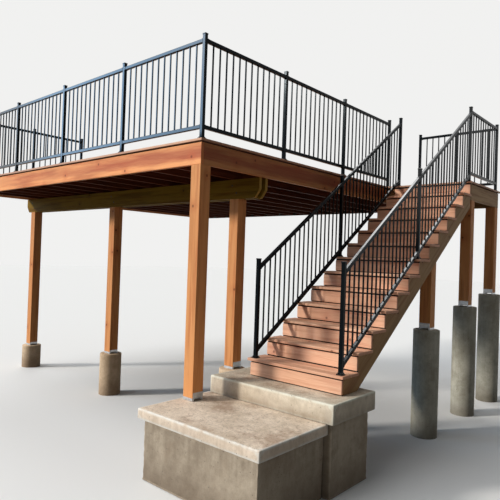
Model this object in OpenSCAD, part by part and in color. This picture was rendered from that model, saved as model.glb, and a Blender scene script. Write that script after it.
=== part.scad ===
// Raised wooden deck with a straight flight of stairs, a side landing and metal railings.
// Model floor z = 0 is the lowest ground. +X to the stair side, +Y to the house wall, +Z up.
// Plan positions are first counted from the deck's front right corner, then centred.

/* [Deck] */
// length of the deck along the house
deck_l = 5620; // [5000:20:6600]
// gap of the landing's back edge to the house wall
wall_gap = 114; // [20:2:600]
// height of the walking surface over the lowest ground
deck_h = 3240; // [3100:10:3600]
// thickness of the deck boards
board_t = 25; // [20:1:38]
// overhang of boards and treads past the framing
over = 26; // [15:1:35]

/* [Framing] */
// height of joists, rims and beam planks
joist_h = 228; // [184:1:286]
// thickness of framing planks
plank_t = 38; // [32:1:45]
// number of deck joists between the two side rims
joists_n = 13; // [9:1:17]
// number of landing joists between the stair side rims
landing_joists_n = 2; // [1:1:4]
// distance of the beam's front face from the deck edge
beam_in = 955; // [700:5:1300]
// side of the square wooden posts
post_w = 140; // [115:1:160]
// setback of the beam's right end from the deck's right edge
beam_in_right = 55; // [0:1:150]
// setback of the beam's left end from the deck's left edge
beam_in_left = 0; // [0:1:150]
// length of the clipped lower corner of a beam plank
beam_clip_x = 70; // [50:5:120]
// height of the clipped lower corner of a beam plank
beam_clip_z = 95; // [50:5:150]
// gap of the right beam post to the beam's right end
beam_post_in = 316; // [200:1:500]
// gap of the left beam post to the beam's left end
beam_post_left = 160; // [125:1:400]
// offset of the middle beam post from the right beam post
mid_post_off = 2475; // [2000:5:2800]

/* [Stair] */
// number of risers from the pad to the landing
risers = 13; // [11:1:14]
// height of one step
rise = 184.3; // [170:0.1:190]
// run of one step
run = 267.4; // [250:0.1:285]
// nosing of the landing, counted from the deck's front edge
stair_top_y = 3901; // [3500:1:4300]
// left face of the stringers, counted from the deck's right edge
stair_x0 = 107; // [90:1:160]
// width over the stringers
stair_w = 1114; // [900:1:1300]
// thickness of a tread
tread_t = 28; // [25:1:45]
// thickness of a riser board
riser_t = 25; // [18:1:30]
// depth of the stringer plank before the teeth are cut
stringer_h = 275; // [250:1:300]
// gap behind a tread
tread_gap = 5; // [4:1:12]
// distance from the landing nosing to the landing's back edge
landing_d = 1315; // [1250:1:1340]

/* [Railing] */
// side of a square rail post
rail_post = 38; // [34:1:60]
// distance of a rail post's centre from the edge
rail_in = 55; // [50:1:75]
// distance of a stair rail post's centre from the tread end
stair_rail_in = 62; // [52:1:80]
// distance of a stair rail post's centre behind the nosing
newel_in = 62; // [52:1:110]
// top of the top rail over the deck
rail_top = 1001; // [900:1:1070]
// top of the post cap over the deck
cap_top = 1052; // [960:1:1120]
// height of top and bottom rail bars
rail_h = 38; // [30:1:45]
// width of top and bottom rail bars
rail_w = 34; // [25:1:44]
// top of the bottom rail over the deck
rail_low = 143; // [110:1:160]
// height of the raked top rail over the nosing line
rake_top = 925; // [860:1:980]
// underside of the raked bottom rail over the nosing line
rake_low = 10; // [6:1:30]
// side of a baluster
bal_w = 15; // [12:1:19]
// widest pitch of the balusters of a level panel
bal_pitch = 105; // [95:1:125]
// widest pitch of the balusters of a raked panel, measured level
rake_pitch = 90; // [80:1:105]
// rail post pitch along the front
front_pitch = 1352; // [1200:1:1380]
// rail post pitch along the right edge
side_pitch = 1316; // [1200:1:1330]
// length of the left edge's railing
left_rail_l = 1905; // [1600:5:2400]

/* [Ground works] */
// thickness of the stair pad and step down to the walk slab
pad_t = 180; // [150:1:190]
// thickness of the walk slab
slab_t = 100; // [80:1:150]
// radius of the round piers
round_r = 155; // [130:1:180]
// top of the left front pier
pier_top_left = 385; // [300:5:450]
// top of the middle front pier
pier_top_mid = 600; // [500:5:700]
// top of the right front pier
pier_top_right = 790; // [700:5:850]
// top of the pier under the flight
pier_top_stair = 1285; // [1200:5:1330]
// top of the landing's front pier
pier_top_front = 1500; // [1400:5:1600]
// top of the landing's back pier
pier_top_back = 1640; // [1500:5:1800]
// setback of the landing's front post behind the rim
post_back = 40; // [0:1:80]
// height of the metal standoff under a post
standoff = 26; // [20:1:30]

/* [Hidden] */
deck_d = stair_top_y + landing_d + wall_gap;
fl = deck_h - board_t;
jb = fl - joist_h;
bb = jb - joist_h;
pad_top = deck_h - risers * rise;
slab_top = pad_top - pad_t;
stair_x1 = stair_x0 + stair_w;
land_x1 = stair_x1 + over;
land_y0 = stair_top_y;
land_y1 = land_y0 + landing_d;
rim_y0 = land_y0 + over + riser_t;
pad_x0 = -177;
pad_x1 = stair_x1 + 116;
pad_y0 = 410;
pad_y1 = 1159;
slab_x0 = -220;
slab_x1 = stair_x1 + 47;
slab_y0 = -482;
foot_in = 40;
ox = (deck_l - pad_x1) / 2;
oy = -(slab_y0 + deck_d) / 2;
frame_x0 = -deck_l + over;
frame_x1 = -over;
beam_x0 = -deck_l + beam_in_left;
beam_x1 = -beam_in_right;
p4x = beam_x1 - beam_post_in - post_w;
p2x = p4x - mid_post_off;
p1x = beam_x0 + beam_post_left;
p7y = land_y1 - over - post_w;
p5y = 2690;
px = stair_x1 - post_w;
corner_x = -over - post_w;
slope = rise / run;
rail_y_stair = land_y0 + 80;
p6y = rim_y0 + post_back;
tread_x0 = stair_x0 - over;
srx0 = tread_x0 + stair_rail_in;
srx1 = land_x1 - stair_rail_in;
left_x = -deck_l + rail_in;
strap_t = 3;
strap_w = 132;
strap_h = 54;
tray_in = 5;
cap_h = 14;
cap_out = 3;
cap_w = rail_post + 2 * cap_out;
foot_w = 92;
foot_t = 9;
wood_a = [0.80, 0.55, 0.38];
wood_b = [0.72, 0.50, 0.38];
wood_c = [0.42, 0.37, 0.24];
stone = [0.72, 0.70, 0.66];
steel = [0.60, 0.61, 0.62];
black = [0.08, 0.08, 0.09];

function nose(k) = land_y0 - (risers - k) * run;
function face(k) = nose(k) + over;
function top(k) = pad_top + k * rise;
function nline(y) = deck_h + (y - land_y0) * slope;

module box(x0, y0, z0, x1, y1, z1) {
  translate([ox + x0, oy + y0, z0])
    cube([x1 - x0, y1 - y0, z1 - z0]);
}

// a shape drawn in Y and Z, extruded along X from x0 to x1
module side_shape(x0, x1, pts) {
  translate([ox + x0, oy, 0])
    rotate([90, 0, 90])
      linear_extrude(height = x1 - x0)
        polygon(pts);
}

// a shape drawn in X and Z, extruded along Y from y0 to y1
module front_shape(y0, y1, pts) {
  translate([ox, oy + y1, 0])
    rotate([90, 0, 0])
      linear_extrude(height = y1 - y0)
        polygon(pts);
}

module stair_pad() {
  color(stone)
    box(pad_x0, pad_y0, slab_top, pad_x1, pad_y1, pad_top);
}

module stair_pad_footing() {
  color(stone)
    box(pad_x0 + foot_in, pad_y0 + foot_in, 0, pad_x1 - foot_in, pad_y1 - foot_in, slab_top);
}

module walk_slab() {
  color(stone)
    box(slab_x0, slab_y0, slab_top - slab_t, slab_x1, pad_y0 + foot_in, slab_top);
}

module walk_slab_footing() {
  color(stone)
    box(slab_x0 + foot_in, slab_y0 + foot_in, 0, slab_x1 - foot_in, pad_y0 + foot_in,
      slab_top - slab_t);
}

module round_pier(x, y, h) {
  color(stone)
    translate([ox + x + post_w / 2, oy + y + post_w / 2, 0])
      cylinder(h = h, r = round_r, $fn = 48);
}

module front_piers() {
  round_pier(p1x, beam_in, pier_top_left);
  round_pier(p2x, beam_in, pier_top_mid);
  round_pier(p4x, beam_in, pier_top_right);
}

module stair_piers() {
  round_pier(px, p5y, pier_top_stair);
  round_pier(px, p6y, pier_top_front);
  round_pier(px, p7y, pier_top_back);
}

// a standoff tray under the post with a strap up two opposite faces of the post, the left
// and right faces at turn 0, the front and back faces at turn 90
module post_base(x, y, z, turn) {
  e = post_w / 2;
  w = strap_w / 2;
  color(steel)
    translate([ox + x + e, oy + y + e, z])
      rotate([0, 0, turn])
        union() {
          translate([-e + tray_in, -e + tray_in, 0])
            cube([post_w - 2 * tray_in, post_w - 2 * tray_in, standoff]);
          translate([-e - strap_t, -w, 0])
            cube([post_w + 2 * strap_t, strap_w, strap_t]);
          translate([-e - strap_t, -w, 0])
            cube([strap_t, strap_w, standoff + strap_h]);
          translate([e, -w, 0])
            cube([strap_t, strap_w, standoff + strap_h]);
        }
}

module post_bases() {
  post_base(p1x, beam_in, pier_top_left, 0);
  post_base(p2x, beam_in, pier_top_mid, 0);
  post_base(p4x, beam_in, pier_top_right, 0);
  post_base(corner_x, over, slab_top, 0);
  post_base(px, p5y, pier_top_stair, 90);
  post_base(px, p6y, pier_top_front, 90);
  post_base(px, p7y, pier_top_back, 90);
}

// a post notched on both sides so that its tongue stands between the beam planks
module beam_post(x, z) {
  color(wood_a)
    union() {
      box(x, beam_in, z + standoff, x + post_w, beam_in + post_w, bb);
      box(x, beam_in + plank_t, bb - 1, x + post_w, beam_in + post_w - plank_t, jb);
    }
}

module post_front_left() {
  beam_post(p1x, pier_top_left);
}

module post_front_middle() {
  beam_post(p2x, pier_top_mid);
}

module post_front_right() {
  beam_post(p4x, pier_top_right);
}

module post_corner() {
  color(wood_a)
    box(corner_x, over, slab_top + standoff, -over, over + post_w, jb);
}

// the underside line of the stringers
throat = stringer_h * sqrt(1 + slope * slope);
function under(y) = nline(y) - tread_t - (over + riser_t) * slope - throat;

module post_stair() {
  color(wood_a)
    side_shape(px, stair_x1, [
      [p5y, pier_top_stair + standoff],
      [p5y + post_w, pier_top_stair + standoff],
      [p5y + post_w, under(p5y + post_w)],
      [p5y, under(p5y)]]);
}

module post_landing_front() {
  color(wood_a)
    box(px, p6y, pier_top_front + standoff, stair_x1, p6y + post_w, jb);
}

module post_landing_back() {
  color(wood_a)
    box(px, p7y, pier_top_back + standoff, stair_x1, p7y + post_w, jb);
}

module beam_plank(y) {
  color(wood_c)
    front_shape(y, y + plank_t, [
      [beam_x0 + beam_clip_x, bb],
      [beam_x1 - beam_clip_x, bb],
      [beam_x1, bb + beam_clip_z],
      [beam_x1, jb],
      [beam_x0, jb],
      [beam_x0, bb + beam_clip_z]]);
}

module front_beam_outer() {
  beam_plank(beam_in);
}

module front_beam_inner() {
  beam_plank(beam_in + post_w - plank_t);
}

module rim_front() {
  color(wood_a)
    box(frame_x0, over, jb, frame_x1, over + plank_t, fl);
}

module rim_right() {
  color(wood_a)
    box(frame_x1 - plank_t, over + plank_t, jb, frame_x1, deck_d - plank_t, fl);
}

module rim_left() {
  color(wood_a)
    box(frame_x0, over + plank_t, jb, frame_x0 + plank_t, deck_d - plank_t, fl);
}

module house_ledger() {
  color(wood_c)
    box(frame_x0, deck_d - plank_t, jb, frame_x1, deck_d, fl);
}

module deck_joists() {
  a = frame_x0 + plank_t;
  step = (frame_x1 - plank_t - a) / (joists_n + 1);
  color(wood_c)
    for (i = [1 : joists_n])
      box(a + i * step - plank_t / 2, over + plank_t, jb,
        a + i * step + plank_t / 2, deck_d - plank_t, fl);
}

module deck_boards() {
  color(wood_b)
    box(-deck_l, 0, fl, 0, deck_d, deck_h);
}

module landing_rim_front() {
  color(wood_a)
    box(frame_x1, rim_y0, jb, stair_x1, rim_y0 + plank_t, fl);
}

module landing_rim_right() {
  color(wood_a)
    box(stair_x1 - plank_t, rim_y0 + plank_t, jb, stair_x1, land_y1 - over - plank_t, fl);
}

module landing_rim_back() {
  color(wood_a)
    box(frame_x1, land_y1 - over - plank_t, jb, stair_x1, land_y1 - over, fl);
}

module landing_joists() {
  step = (stair_x1 - plank_t - frame_x1) / (landing_joists_n + 1);
  color(wood_c)
    for (i = [1 : landing_joists_n])
      box(frame_x1 + i * step - plank_t / 2, rim_y0 + plank_t, jb,
        frame_x1 + i * step + plank_t / 2, land_y1 - over - plank_t, fl);
}

module landing_boards() {
  color(wood_b)
    box(0, land_y0, fl, land_x1, land_y1, deck_h);
}

// the upper edge of a cut stringer, step by step from foot to landing rim
function teeth() = [for (k = [1 : risers - 1], e = [0 : 1])
  [face(k + e) + riser_t, top(k) - tread_t]];

module stringer(x) {
  foot = nose(1) + (pad_top - under(nose(1))) / slope;
  color(wood_b)
    side_shape(x, x + plank_t, concat(
      [[face(1) + riser_t, pad_top]],
      teeth(),
      [[rim_y0, under(rim_y0)], [foot, pad_top]]));
}

module stringer_left() {
  stringer(stair_x0);
}

module stringer_middle() {
  stringer(stair_x0 + (stair_w - plank_t) / 2);
}

module stringer_right() {
  stringer(stair_x1 - plank_t);
}

module stair_treads() {
  color(wood_b)
    for (k = [1 : risers - 1])
      box(tread_x0, nose(k), top(k) - tread_t, land_x1, face(k + 1) - tread_gap, top(k));
}

// each riser stands on the pad or on the stringers' teeth and ends under the next tread
module riser_boards() {
  color(wood_b)
    for (k = [1 : risers])
      box(stair_x0, face(k), k == 1 ? pad_top : top(k - 1) - tread_t,
        stair_x1, face(k) + riser_t, k == risers ? fl : top(k) - tread_t);
}

// a square metal post with a foot plate and a flat cap, z is the surface it stands on
module rail_post_at(x, y, z, h) {
  color(black)
    union() {
      box(x - rail_post / 2, y - rail_post / 2, z, x + rail_post / 2, y + rail_post / 2, z + h);
      box(x - foot_w / 2, y - foot_w / 2, z, x + foot_w / 2, y + foot_w / 2, z + foot_t);
      box(x - cap_w / 2, y - cap_w / 2, z + h - cap_h, x + cap_w / 2, y + cap_w / 2, z + h);
    }
}

// a level railing panel along X between two post centres
module panel_x(xa, xb, y) {
  a = xa + rail_post / 2;
  b = xb - rail_post / 2;
  n = ceil((b - a) / bal_pitch);
  color(black)
    union() {
      box(a, y - rail_w / 2, deck_h + rail_top - rail_h, b, y + rail_w / 2, deck_h + rail_top);
      box(a, y - rail_w / 2, deck_h + rail_low - rail_h, b, y + rail_w / 2, deck_h + rail_low);
      for (i = [1 : n - 1])
        box(a + i * (b - a) / n - bal_w / 2, y - bal_w / 2, deck_h + rail_low - 1,
          a + i * (b - a) / n + bal_w / 2, y + bal_w / 2, deck_h + rail_top - rail_h + 1);
    }
}

// a level railing panel along Y between two post centres
module panel_y(x, ya, yb) {
  a = ya + rail_post / 2;
  b = yb - rail_post / 2;
  n = ceil((b - a) / bal_pitch);
  color(black)
    union() {
      box(x - rail_w / 2, a, deck_h + rail_top - rail_h, x + rail_w / 2, b, deck_h + rail_top);
      box(x - rail_w / 2, a, deck_h + rail_low - rail_h, x + rail_w / 2, b, deck_h + rail_low);
      for (i = [1 : n - 1])
        box(x - bal_w / 2, a + i * (b - a) / n - bal_w / 2, deck_h + rail_low - 1,
          x + bal_w / 2, a + i * (b - a) / n + bal_w / 2, deck_h + rail_top - rail_h + 1);
    }
}

function front_xs() = [-rail_in, -rail_in - front_pitch, -rail_in - 2 * front_pitch,
  -rail_in - 3 * front_pitch, left_x];

module rail_posts_front() {
  xs = front_xs();
  for (i = [0 : 4])
    rail_post_at(xs[i], rail_in, deck_h, cap_top);
}

module rail_panels_front() {
  xs = front_xs();
  for (i = [0 : 3])
    panel_x(xs[i + 1], xs[i], rail_in);
}

module rail_posts_right() {
  for (i = [1 : 3])
    rail_post_at(-rail_in, rail_in + i * side_pitch, deck_h, cap_top);
}

module rail_panels_right() {
  for (i = [0 : 2])
    panel_y(-rail_in, rail_in + i * side_pitch, rail_in + (i + 1) * side_pitch);
}

module rail_posts_left() {
  for (i = [1 : 2])
    rail_post_at(left_x, rail_in + i * left_rail_l / 2, deck_h, cap_top);
}

module rail_panels_left() {
  for (i = [0 : 1])
    panel_y(left_x, rail_in + i * left_rail_l / 2, rail_in + (i + 1) * left_rail_l / 2);
}

module rail_posts_landing() {
  rail_post_at(srx1, land_y1 - rail_in, deck_h, cap_top);
  rail_post_at(-rail_in, land_y1 - rail_in, deck_h, cap_top);
}

module rail_panel_landing_side() {
  panel_y(srx1, rail_y_stair, land_y1 - rail_in);
}

module rail_panel_landing_back() {
  panel_x(-rail_in, srx1, land_y1 - rail_in);
}

module stair_rail_posts(x) {
  rail_post_at(x, nose(1) + newel_in, top(1), cap_top);
  rail_post_at(x, nose(7) + newel_in, top(7), cap_top);
  rail_post_at(x, rail_y_stair, deck_h, cap_top);
}

module stair_rail_posts_left() {
  stair_rail_posts(srx0);
}

module stair_rail_posts_right() {
  stair_rail_posts(srx1);
}

// a raked railing panel between two post centres
module rake_panel(x, ya, yb) {
  a = ya + rail_post / 2;
  b = yb - rail_post / 2;
  n = ceil((b - a) / rake_pitch);
  t = rail_h * sqrt(1 + slope * slope);
  color(black)
    union() {
      side_shape(x - rail_w / 2, x + rail_w / 2, [
        [a, nline(a) + rake_top - t], [b, nline(b) + rake_top - t],
        [b, nline(b) + rake_top], [a, nline(a) + rake_top]]);
      side_shape(x - rail_w / 2, x + rail_w / 2, [
        [a, nline(a) + rake_low], [b, nline(b) + rake_low],
        [b, nline(b) + rake_low + t], [a, nline(a) + rake_low + t]]);
      for (i = [1 : n - 1])
        let (c = a + i * (b - a) / n)
          box(x - bal_w / 2, c - bal_w / 2, nline(c) + rake_low + t - 7,
            x + bal_w / 2, c + bal_w / 2, nline(c) + rake_top - t + 7);
    }
}

module stair_rail(x) {
  rake_panel(x, nose(1) + newel_in, nose(7) + newel_in);
  rake_panel(x, nose(7) + newel_in, rail_y_stair);
}

module stair_rail_left() {
  stair_rail(srx0);
}

module stair_rail_right() {
  stair_rail(srx1);
}

stair_pad();
stair_pad_footing();
walk_slab();
walk_slab_footing();
front_piers();
stair_piers();
post_bases();
post_front_left();
post_front_middle();
post_front_right();
post_corner();
post_stair();
post_landing_front();
post_landing_back();
front_beam_outer();
front_beam_inner();
rim_front();
rim_right();
rim_left();
house_ledger();
deck_joists();
deck_boards();
landing_rim_front();
landing_rim_right();
landing_rim_back();
landing_joists();
landing_boards();
stringer_left();
stringer_middle();
stringer_right();
stair_treads();
riser_boards();
rail_posts_front();
rail_panels_front();
rail_posts_right();
rail_panels_right();
rail_posts_left();
rail_panels_left();
rail_posts_landing();
rail_panel_landing_side();
rail_panel_landing_back();
stair_rail_posts_left();
stair_rail_posts_right();
stair_rail_left();
stair_rail_right();
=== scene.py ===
import math
from itertools import pairwise

import bpy
import numpy as np
from mathutils import Matrix, Vector


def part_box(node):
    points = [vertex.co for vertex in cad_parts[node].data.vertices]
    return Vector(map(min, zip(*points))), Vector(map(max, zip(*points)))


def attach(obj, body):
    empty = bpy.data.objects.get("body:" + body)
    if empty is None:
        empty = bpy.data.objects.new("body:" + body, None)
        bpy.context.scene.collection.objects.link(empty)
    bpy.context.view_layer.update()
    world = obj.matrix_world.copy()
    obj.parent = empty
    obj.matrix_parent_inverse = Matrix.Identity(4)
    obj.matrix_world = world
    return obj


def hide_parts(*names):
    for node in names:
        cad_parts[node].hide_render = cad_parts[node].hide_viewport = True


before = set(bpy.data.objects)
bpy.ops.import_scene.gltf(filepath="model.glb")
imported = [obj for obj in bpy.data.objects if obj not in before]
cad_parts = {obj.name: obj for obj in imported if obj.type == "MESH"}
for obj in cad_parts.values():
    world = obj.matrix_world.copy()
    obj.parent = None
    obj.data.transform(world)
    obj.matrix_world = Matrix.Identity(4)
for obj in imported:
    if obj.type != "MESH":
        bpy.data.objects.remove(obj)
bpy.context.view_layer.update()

# Sizes and places

# All are in metres. Places are counted from the deck's front right corner, as in the part's
# source, and piece() moves them by CENTRE on to the model's own origin.

CENTRE = np.array([2.1415, -2.424, 0.0])
DECK_L = 5.620
DECK_D = 5.330
DECK_H = 3.240
BOARD = 0.025
OVER = 0.026  # boards past the rims and risers
JOIST = 0.228
PLANK = 0.038
POST = 0.140
FL = DECK_H - BOARD  # top of the frame
JB = FL - JOIST  # underside of the joists
BB = JB - JOIST  # underside of the beam
FRAME_X0 = -DECK_L + OVER
FRAME_X1 = -OVER

# Flight and landing

RISE = 0.1843
RUN = 0.2674
RISERS = 13
SLOPE = RISE / RUN
TREAD = 0.028
RISER_T = 0.025
STRING_H = 0.275
TOP_Y = 3.901  # front edge of the landing
STAIR_X0 = 0.107
STAIR_X1 = 1.221
LANDING_D = 1.315
LAND_X1 = STAIR_X1 + OVER
LAND_Y1 = TOP_Y + LANDING_D
LAND_BACK = LAND_Y1 - OVER  # back of the landing's frame
RIM_Y = TOP_Y + OVER + RISER_T  # front of the landing's frame
PAD_T = 0.180
PAD_TOP = DECK_H - RISERS * RISE
SLAB_TOP = PAD_TOP - PAD_T

# Beam, posts and piers

BEAM_Y = 0.955
BEAM_X0 = -DECK_L
BEAM_X1 = -0.055
BEAM_CLIP = 0.070, 0.095
BEAM_POST_IN = 0.316
BEAM_POST_LEFT = 0.160
MID_POST_OFF = 2.475
POST_BACK = 0.040
P4X = BEAM_X1 - BEAM_POST_IN - POST  # front posts: right, middle and left
P2X = P4X - MID_POST_OFF
P1X = BEAM_X0 + BEAM_POST_LEFT
PX = STAIR_X1 - POST  # posts of the flight and the landing, from front to back
P5Y = 2.690
P6Y = RIM_Y + POST_BACK
P7Y = LAND_BACK - POST
PIER_TOPS = 0.385, 0.600, 0.790, 1.285, 1.500, 1.640
PIER_R = 0.155
STANDOFF = 0.026
STRAP_H = 0.054
STRAP_LOW = 0.026

# Railings

RAIL_IN = 0.055
FRONT_PITCH = 1.352
SIDE_PITCH = 1.316
LEFT_RAIL = 1.905
RAIL_TOP = 1.001
RAIL_LOW = 0.143
CAP_TOP = 1.052
RAIL_POST = 0.038
RAIL_H = 0.038
RAIL_W = 0.034
BALUSTER = 0.015
LEVEL_PITCH = 0.105
RAKED_PITCH = 0.090
RAKE_TOP = 0.925
RAKE_LOW = 0.010
BRACKET = 0.016
BRACKET_OUT = 0.005
FOOT_HALF = 0.034
FOOT_T = 0.009
COLLAR_HALF = 0.025
COLLAR_TOP = 0.024
CAP_HALF = 0.022
CAP_H = 0.014
NUT_OUT = 0.027
STAIR_RAIL_IN = 0.062
SRX0 = STAIR_X0 - OVER + STAIR_RAIL_IN  # the flight's left railing
SRX1 = LAND_X1 - STAIR_RAIL_IN  # the flight's right railing
STAIR_RAIL_Y = TOP_Y + 0.080
NEWEL_IN = 0.062
LEFT_X = -DECK_L + RAIL_IN  # the deck's left railing

# Gaps, laps and fasteners

BOARD_GAP = 0.005
BUTT_GAP = 0.002
TREAD_GAP = 0.006
RISER_GAP = 0.009, 0.018
RIM_GAP = 0.008
RECESS = 0.010
GAP_SHADE_IN = 0.012
SCREW_IN = 0.03
SCREW_SUNK = 0.0006
BOLT_IN = 0.07
BOLT_APART = 0.07
HANGER_H = 0.16
HANGER_L = 0.05
HANGER_WING = 0.016

# Edges of sawn wood: radius, steps in a quarter circle, and cut at both ends

EASED = 0.004, 2, 0.002
ROUNDED = 0.006, 3, 0.003
SHARP = 0.003, 1, 0.001

X, Y, Z = np.eye(3)
rng = np.random.default_rng(11)


def nose(k):
    """Y of the front edge of step k: the landing's edge less a run for each step below it."""
    return TOP_Y - (RISERS - k) * RUN


def top(k):
    """Height of step k: the pad's top and a rise for each step."""
    return PAD_TOP + k * RISE


def nose_line(y):
    """Height at y of the line through all the steps' front edges."""
    return DECK_H + (y - TOP_Y) * SLOPE


def rows(*columns):
    """Columns of numbers, single ones repeated, side by side as an array of points."""
    return np.stack(np.broadcast_arrays(*[np.asarray(c, float) for c in columns]), -1)


def points(p):
    """A point or a list of points as an array with one row each."""
    return np.atleast_2d(np.asarray(p, float))


def ring_faces(count, m):
    """Four-cornered faces between neighbouring rings, for count closed rings of m points."""
    i, j = np.meshgrid(np.arange(count - 1) * m, np.arange(m), indexing="ij")
    turn = (j + 1) % m
    return np.stack([i + j, i + turn, i + m + turn, i + m + j], -1).reshape(-1, 4)


# Shapes

# Each returns points, blocks of faces with one row of corners a face, grain coordinates a
# corner, and a tone and an end mark a face.


def rounded_section(w, h, r, seg):
    """Outline of a w by h rectangle, four quarter circles of radius r joined by straights.
    w and h are arrays with one value a bar, and the result is (bars, points, 2)."""
    a = np.linspace(0, np.pi / 2, seg + 1)
    quarter = np.concatenate([a + i * np.pi / 2 for i in range(4)])
    corner = np.repeat(np.array([[1, 1], [-1, 1], [-1, -1], [1, -1]]), seg + 1, axis=0)
    half = np.stack([w, h], axis=-1)[:, None, :] / 2
    ring = np.stack([np.cos(quarter), np.sin(quarter)], axis=-1)
    return corner * (half - r) + r * ring


def bars(p0, p1, side, up, w, h, r, seg, cut):
    """Rounded rectangles carried along straight paths from p0 to p1, all bars at once.
    A point is p0 + along * s + side * x + up * y, where (x, y) is the section, and the
    section shrinks by cut at both ends."""
    p0, p1 = np.broadcast_arrays(points(p0), points(p1))
    n = len(p0)
    w = np.broadcast_to(np.asarray(w, float), (n,))
    h = np.broadcast_to(np.asarray(h, float), (n,))
    along = p1 - p0
    length = np.linalg.norm(along, axis=1)
    along = along / length[:, None]
    big = rounded_section(w, h, r, seg)
    small = rounded_section(w - 2 * cut, h - 2 * cut, max(r - cut, 0.0004), seg)
    m = big.shape[1]
    rings = np.stack([small, big, big, small], axis=1)
    s = rows(0 * length, 0 * length + cut, length - cut, length)
    pts = (p0[:, None, None, :] + along[:, None, None, :] * s[:, :, None, None]
           + side * rings[..., 0:1] + up * rings[..., 1:2])
    quad = ring_faces(4, m)
    ring_no, point_no = quad // m, quad % m
    point_no[:, 1:3] = point_no[:, :1] + 1
    first, last = np.arange(m)[::-1], np.arange(m)
    if np.linalg.det(np.stack([side, up, along[0]])) < 0:
        quad, ring_no, point_no = quad[:, ::-1], ring_no[:, ::-1], point_no[:, ::-1]
        first, last = last, first
    edge = np.linalg.norm(np.roll(big, -1, axis=1) - big, axis=2)
    v = np.concatenate([np.zeros((n, 1)), np.cumsum(edge, axis=1)], axis=1)
    shift = rng.uniform(0, 40, (n, 2))
    uv = [np.stack([s[:, ring_no], v[:, point_no]], -1) + shift[:, None, None, :]]
    uv += [small[:, first] + shift[:, None, :], small[:, last] + shift[:, None, :]]
    base = np.arange(n)[:, None] * 4 * m
    faces = [(base[:, :, None] + quad).reshape(-1, 4), base + first, base + 3 * m + last]
    tone = rng.uniform(0, 1, n)
    return (pts.reshape(-1, 3), faces, np.concatenate([a.reshape(-1, 2) for a in uv]),
            np.concatenate([np.repeat(tone, len(quad)), tone, tone]),
            np.concatenate([np.zeros(n * len(quad)), np.ones(2 * n)]))


def box_bars(lo, hi, axis, r, seg, cut):
    """Bars that fill the boxes from lo to hi, carried along one axis, 0, 1 or 2."""
    lo, hi = points(lo), points(hi)
    a, b = (axis + 1) % 3, (axis + 2) % 3
    mid = (lo + hi) / 2
    p0, p1 = mid.copy(), mid.copy()
    p0[:, axis] = lo[:, axis]
    p1[:, axis] = hi[:, axis]
    e = np.eye(3)
    return bars(p0, p1, e[a], e[b], (hi - lo)[:, a], (hi - lo)[:, b], r, seg, cut)


def plate(outline, origin, u, v, thick, grain, cut):
    """A sawn plank of any outline. A point is origin + u * a + v * b + (u x v) * c, with
    (a, b) on the outline and c through the thickness. Both flat sides draw in by cut, along
    the line that halves each corner, so that the edges are eased. The grain runs along the
    direction grain, given in a and b."""
    o = np.asarray(outline, float)
    e = np.roll(o, -1, axis=0) - o
    area = np.sum(o[:, 0] * np.roll(o[:, 1], -1) - np.roll(o[:, 0], -1) * o[:, 1])
    if area < 0:
        return plate(o[::-1], origin, u, v, thick, grain, cut)
    e /= np.linalg.norm(e, axis=1, keepdims=True)
    inward = np.stack([-e[:, 1], e[:, 0]], -1)
    before = np.roll(inward, 1, axis=0)
    draw = (inward + before) / (1 + np.sum(inward * before, axis=1, keepdims=True))
    ring = np.stack([o + draw * cut, o, o, o + draw * cut])
    w = np.cross(u, v)
    c = np.array([0, cut, thick - cut, thick])
    pts = (np.asarray(origin, float) + ring[..., 0:1] * u + ring[..., 1:2] * v
           + c[:, None, None] * w)
    m = len(o)
    quad = ring_faces(4, m)
    g = np.asarray(grain, float)
    q = np.array([-g[1], g[0]])
    across = ring @ q
    flat = np.stack([ring @ g, across], -1).reshape(-1, 2)
    shift = rng.uniform(0, 40, 2)
    low = np.where(np.arange(4) < 2, 0.0, thick)
    edge = np.stack([ring @ g, np.broadcast_to(low[:, None] + 0.3, across.shape)],
                    -1).reshape(-1, 2)
    uv = np.concatenate([edge[quad].reshape(-1, 2), flat[:m][::-1], flat[3 * m:]]) + shift
    faces = [quad, np.arange(m)[None, ::-1], np.arange(3 * m, 4 * m)[None]]
    end = np.tile(np.abs(e @ q) ** 2, 3)
    tone = np.full(3 * m + 2, rng.uniform(0, 1))
    return pts.reshape(-1, 3), faces, uv, tone, np.concatenate([end, [0, 0]])


def turned(centres, axis, outline, n):
    """Outline points (radius, height) turned about an axis through each centre, closed at
    both ends. A point is centre + axis * height + radius * (cos t, sin t) across it."""
    centres = points(centres)
    outline = np.asarray(outline, float)
    e = np.eye(3)
    d = int(np.argmax(np.abs(axis)))
    a, b = e[(d + 1) % 3], e[(d + 2) % 3] * float(np.sign(axis[d]))
    t = np.linspace(0, 2 * np.pi, n, endpoint=False)
    circle = a * np.cos(t)[:, None] + b * np.sin(t)[:, None]
    ring = (outline[:, 1][:, None, None] * np.asarray(axis, float)
            + outline[:, 0][:, None, None] * circle)
    k, m = len(centres), len(outline)
    pts = centres[:, None, None, :] + ring
    quad = ring_faces(m, n)
    base = np.arange(k)[:, None] * n * m
    faces = [(base[:, :, None] + quad).reshape(-1, 4), base + np.arange(n)[::-1],
             base + (m - 1) * n + np.arange(n)]
    corners = sum(block.size for block in faces)
    plain = np.zeros(sum(len(block) for block in faces))
    return pts.reshape(-1, 3), faces, np.full((corners, 2), 0.5), plain, plain


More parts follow.
